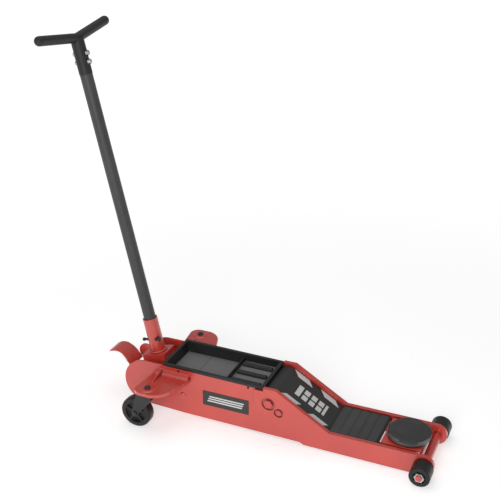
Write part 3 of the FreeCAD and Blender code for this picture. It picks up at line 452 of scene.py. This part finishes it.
def shelf_root(letter, side):
    """Curved root where the pressed shelf turns up the side plate, with its weld."""
    low, high = box_mm("caster_shelf_" + letter)
    shelf_top = 131.0
    wall = side * 78.5
    wide, tall = 22, 17
    curve = [(0, 0), (wide, 0)]
    curve += [(wide - wide * math.sin(a), tall - tall * math.cos(a))
              for a in [math.radians(v) for v in range(10, 91, 10)]]
    shape = bmesh.new()
    turn = Matrix(((0, 0, 1, 0), (side, 0, 0, wall), (0, 1, 0, shelf_top - 0.3), (0, 0, 0, 1)))
    slab(shape, curve, low.x + 16, high.x - 4, turn)
    return new_piece("shelf_root_" + letter, "chassis", "red_paint", shape, crease=50)


shelf_root("l", 1)
shelf_root("r", -1)


# ---------------------------------------------------------------- foot pedal

def foot_pedal():
    """Curved tread plate on two side arms, with the nose that works the quick plunger."""
    eye = joint_spot("pedal_press")
    low, high = box_mm("foot_pedal")
    tip, arm = low.x, high.y
    big_knob, small_knob = (tip + 96, 118.0, 24.9), (tip + 88, 98.0, 13.9)
    spine = [(tip + 0.8, 128.9), (tip + 8, 133), (tip + 16, 135.9), (tip + 24, 137.3),
             (tip + 32, 137.2), (tip + 40, 135.3), (tip + 47, 131.8), (tip + 53, 127.3),
             (tip + 58, 122.3), (tip + 66, 112.8), (tip + 74, 103.3), (tip + 81.5, 94.4)]
    halves = [27, 30, 31, 31, 31, 31, 31.2, 32.4, 34, 34.8, 34.8, 34.8]
    shape = bmesh.new()
    block = bmesh.new()
    rows = []
    for i, ((x, z), half) in enumerate(zip(spine, halves)):
        before, after = Vector(spine[max(i - 1, 0)]), Vector(spine[min(i + 1, len(spine) - 1)])
        along = (after - before).normalized()
        out = Vector((-along.y, along.x)) * 2.1
        columns = [half * t for t in (-1, -0.97, -0.8, -0.45, 0, 0.45, 0.8, 0.97, 1)]
        upper = [block.verts.new((x + out.x * k, y, z + out.y * k))
                 for y, k in zip(columns, (0.35, 0.9, 1, 1, 1, 1, 1, 0.9, 0.35))]
        lower = [block.verts.new((x - out.x * k, y, z - out.y * k))
                 for y, k in zip(columns, (0.35, 0.9, 1, 1, 1, 1, 1, 0.9, 0.35))]
        rows.append(upper + lower[::-1])
    for here, there in zip(rows, rows[1:]):
        for i in range(len(here)):
            j = (i + 1) % len(here)
            block.faces.new((here[i], here[j], there[j], there[i]))
    block.faces.new(rows[0])
    block.faces.new(rows[-1][::-1])
    add_to(shape, block, None)
    nose = two_circles(eye.x, eye.z, 8.9, eye.x, eye.z - 25, 8.8)
    for start, knob in ((-arm, big_knob), (arm - 5, small_knob)):
        slab(shape, two_circles(eye.x, eye.z, 17.9, *knob), start, start + 5, SIDE_VIEW,
             bevel=0.8)
    slab(shape, nose, arm - 5, arm, SIDE_VIEW, bevel=0.5)
    return new_piece("pedal_tread", "pedal", "red_paint", shape, ["foot_pedal"], crease=38)


foot_pedal()


# ---------------------------------------------------------------- saddle and lifting arm

NOTCHES = 4
NOTCH_TURN = math.radians(10)


def in_notch(angle, half_length, radius, blend=1.6):
    """One inside a notch of the saddle's rim, nought outside, with sloped flanks."""
    step = math.tau / NOTCHES
    off = abs((angle - NOTCH_TURN + step / 2) % step - step / 2) * radius
    return min(1.0, max(0.0, (half_length - off) / blend + 0.5))


def saddle_cup():
    low, high = box_mm("saddle_cup")
    centre = (low + high) / 2
    big, floor, rim = (high.x - low.x) / 2, 73.0, high.z
    base = box_mm("saddle_carrier")[1].z + 0.3

    def outline(angle):
        gap = in_notch(angle, 27.5, big)
        top = rim - gap * (rim - floor - 0.2)
        edge = 0.7 * (1 - gap)
        return [(0, base), (big - 4, base), (big - 1.6, base + 0.8), (big - 0.4, base + 2.2),
                (big, base + 4), (big, top - edge),
                (big - edge, top), (big - 4 + edge, top), (big - 4, top - edge),
                (big - 4, floor - 0.1), (0, floor - 0.1)]

    shape = bmesh.new()
    turned(shape, outline, at(centre.x, centre.y, 0), steps=216)
    stem = [(0, low.z), (13, low.z), (14, low.z + 1), (14, low.z + 1.5), (12.5, low.z + 1.5),
            (12.5, low.z + 3.5), (14, low.z + 3.5), (14, base + 0.5), (0, base + 0.5)]
    turned(shape, lambda angle: stem, at(centre.x, centre.y, 0))
    return new_piece("saddle_dish", "saddle", "saddle_metal", shape, ["saddle_cup"])


def saddle_pad():
    low, high = box_mm("saddle_pad")
    centre = (low + high) / 2
    lug, top, floor = (high.x - low.x) / 2 - 0.1, high.z, low.z + 0.1
    small = lug - 3.9

    def outline(angle):
        wide = small + (lug - small) * in_notch(angle, 27, lug, 1.0)
        return [(0, floor), (wide, floor), (wide, top - 1.4), (wide - 0.4, top - 0.5),
                (wide - 1.4, top), (41, top), (39.6, top - 0.7), (37.4, top - 0.7),
                (36, top - 0.1), (20, top - 0.35), (6, top - 0.45), (0, top - 0.45)]

    shape = bmesh.new()
    turned(shape, outline, at(centre.x, centre.y, 0), steps=216)
    return new_piece("saddle_rubber", "saddle", "saddle_rubber", shape, ["saddle_pad"])


def tread_pad():
    """Rubber mat of five broad crowned ribs."""
    low, high = box_mm("tread_pad")
    ribs, valley, crest = 5, low.z + 2.0, high.z
    pitch = (high.x - low.x) / ribs
    outline = [(low.x, low.z), (low.x, valley)]
    for rib in range(ribs):
        x = low.x + rib * pitch
        for share, rise in ((0.05, 0.0), (0.07, 0.5), (0.11, 0.82), (0.3, 0.97), (0.5, 1.0),
                            (0.7, 0.97), (0.89, 0.82), (0.93, 0.5), (0.95, 0.0)):
            outline.append((x + share * pitch, valley + rise * (crest - valley)))
    outline += [(high.x, valley), (high.x, low.z)]
    shape = bmesh.new()
    slab(shape, outline, low.y, high.y, SIDE_VIEW @ Matrix.Scale(-1, 4, (0, 0, 1)))
    return new_piece("tread_mat", "lift_arm", "tread_rubber", shape, ["tread_pad"], crease=28)


saddle_cup()
saddle_pad()
tread_pad()

# The label runs over the cover's nose and down its slope to the bend.
PIVOT = joint_spot("arm_lift")
NOSE = box_mm("arm_cover")[1].z - PIVOT.z
FALL = math.atan2(96.5, 163.0)
LEAN_OUT = 90 - math.degrees(FALL)
FLAT = box_mm("tread_pad")[0].z
SLOPE_START = Vector((PIVOT.x + NOSE * math.cos(math.radians(LEAN_OUT)),
                      PIVOT.z + NOSE * math.sin(math.radians(LEAN_OUT))))
DOWN = Vector((math.cos(FALL), -math.sin(FALL)))
SLOPE_LENGTH = (SLOPE_START.y - FLAT) / math.sin(FALL)


def arm_label():
    low, high = box_mm("arm_cover")
    shape = bmesh.new()
    start = 83.0
    under = round_about(PIVOT.x, PIVOT.z, NOSE + 0.05, start, LEAN_OUT, 14)
    over = round_about(PIVOT.x, PIVOT.z, NOSE + 0.4, start, LEAN_OUT, 14)
    out = Vector((math.sin(FALL), math.cos(FALL)))
    end = SLOPE_START + DOWN * (SLOPE_LENGTH - 1.5)
    under.append(tuple(end + out * 0.05))
    over.append(tuple(end + out * 0.4))
    slab(shape, under + over[::-1], low.y + 0.6, high.y - 0.6,
         SIDE_VIEW @ Matrix.Scale(-1, 4, (0, 0, 1)))
    new_piece("arm_label", "lift_arm", "label", shape, crease=30)


def arm_label_marks():
    """Plain white blocks and slanted bars on the arm's label."""
    out = Vector((math.sin(FALL), math.cos(FALL)))
    place = Matrix(((DOWN.x, 0, out.x, SLOPE_START.x), (0, 1, 0, 0),
                    (DOWN.y, 0, out.y, SLOPE_START.y), (0, 0, 0, 1)))
    shape = bmesh.new()
    for outer, inner in ((71.5, 51), (-67.5, -45)):
        for start in (1.0, 97.0):
            stripe = [(start, outer), (start + 54, outer), (start + 74, inner),
                      (start + 22, inner)]
            slab(shape, stripe, 0.42, 0.55, place)
    blocks = [(41, 57, -23, 26), (137, 145.5, -23, 26)]
    for row in (64, 89, 114):
        blocks += [(row, row + 18, 4, 25), (row, row + 18, -22.5, -2)]
    for left, right, near, far in blocks:
        slab(shape, rounded([(left, near), (right, near), (right, far), (left, far)], 1.5),
             0.42, 0.55, place)
    new_piece("arm_label_marks", "lift_arm", "label", shape, finish=LABEL_WHITE)


def side_label_marks():
    """Three plain slanted bars on each side label."""
    low, high = box_mm("label_plates")
    shape = bmesh.new()
    for y in (low.y, high.y):
        for row in range(3):
            z = low.z + 14.5 + row * 7.6
            left, right = low.x + 14 + row * 3, high.x - 22 + row * 3
            bar = [(left, z), (right, z), (right + 2, z + 4.4), (left + 2, z + 4.4)]
            thick = (-0.02, 0.12) if y < 0 else (-0.12, 0.02)
            slab(shape, bar, *thick, at(0, y, 0) @ SIDE_VIEW)
    new_piece("side_label_marks", "chassis", "label", shape, finish=LABEL_WHITE)


arm_label()
arm_label_marks()
side_label_marks()


# ---------------------------------------------------------------- handle and its socket

TWIST = next(j for j in frame["joints"] if j["name"] == "handle_twist")
UP = Vector(TWIST["axis"]).normalized()
ACROSS = Vector((0, 1, 0))
FORWARD = ACROSS.cross(UP)
FOOT = Vector(TWIST["pos_m"]) / MM
HANDLE = Matrix(((FORWARD.x, 0, UP.x, FOOT.x), (FORWARD.y, 1, UP.y, FOOT.y),
                 (FORWARD.z, 0, UP.z, FOOT.z), (0, 0, 0, 1)))


def weld_ring(shape, radius, height, bead, ripples=34):
    """A rippled bead laid round a tube."""
    def outline(angle):
        size = bead * (1 + 0.1 * math.sin(angle * ripples) + 0.07 * math.sin(angle * 5 + 1))
        return [(radius + size * math.cos(a), height + size * math.sin(a))
                for a in [math.radians(v) for v in range(0, 360, 30)]]
    turned(shape, outline, HANDLE, steps=204)


WELD_RADIUS, WELD_HEIGHT, WELD_BEAD = 23.4, 76.5, 4.2


def handle_welds():
    shape = bmesh.new()
    weld_ring(shape, WELD_RADIUS, WELD_HEIGHT, WELD_BEAD)
    new_piece("socket_weld", "yoke", "red_paint", shape)


handle_welds()


# ---------------------------------------------------------------- studio

FLOOR_REACH, FLOOR_DROP = 20.0, 0.0005


def studio_floor():
    """Pale ground just under the wheels, glowing a little more where the lamps don't reach."""
    shape = bmesh.new()
    bmesh.ops.create_grid(shape, x_segments=24, y_segments=24, size=FLOOR_REACH)
    mesh = bpy.data.meshes.new("floor")
    shape.to_mesh(mesh)
    shape.free()
    floor = bpy.data.objects.new("floor", mesh)
    floor.location.z = -FLOOR_DROP
    bpy.context.scene.collection.objects.link(floor)
    pale = Finish("pale_floor", {"Specular IOR Level": 0.1, "Emission Strength": 1.0})
    away = pale.add("ShaderNodeVectorMath", {"operation": "LENGTH"}, {0: pale.place},
                    output="Value").between(0.7, 3.5)
    glow = pale.mix(away, colour(0.5, 0.5, 0.5), colour(0.75, 0.75, 0.75))
    drift = pale.noise(2.0, 2.0)
    mesh.materials.append(pale.wear(
        pale.mix(drift, colour(0.80, 0.80, 0.80), colour(0.82, 0.82, 0.82)),
        0.85 + drift * 0.1, pale.add("ShaderNodeNewGeometry", output="Normal"),
        Emission_Color=glow))


def lamp(name, spot, size, power, aim=(0, 0, 0.1)):
    light = bpy.data.lights.new(name, "AREA")
    light.shape = "DISK"
    light.size = size
    light.energy = power
    holder = bpy.data.objects.new(name, light)
    holder.location = spot
    holder.rotation_euler = (Vector(aim) - Vector(spot)).to_track_quat("-Z", "Y").to_euler()
    bpy.context.scene.collection.objects.link(holder)


def camera():
    azimuth, elevation, far = math.radians(23.41), math.radians(23.95), 2.6309
    target = Vector((-0.01966, 0, 0.54294))
    back = Vector((math.sin(azimuth) * math.cos(elevation),
                   -math.cos(azimuth) * math.cos(elevation), math.sin(elevation)))
    lens = bpy.data.cameras.new("camera")
    lens.lens, lens.sensor_width = 68.13, 36.0
    holder = bpy.data.objects.new("camera", lens)
    holder.location = target + back * far
    holder.rotation_euler = back.to_track_quat("Z", "Y").to_euler()
    bpy.context.scene.collection.objects.link(holder)
    bpy.context.scene.camera = holder


studio_floor()
world = bpy.data.worlds.new("studio")
world.use_nodes = True
world.node_tree.nodes["Background"].inputs["Color"].default_value = (1, 1, 1, 1)
world.node_tree.nodes["Background"].inputs["Strength"].default_value = 0.34
bpy.context.scene.world = world
lamp("front_softbox", (0.6, -3.2, 1.6), 1.8, 50.0)
lamp("top_softbox", (-0.6, 0.4, 3.0), 2.6, 18.0)
bpy.context.scene.view_settings.view_transform = "Standard"
camera()
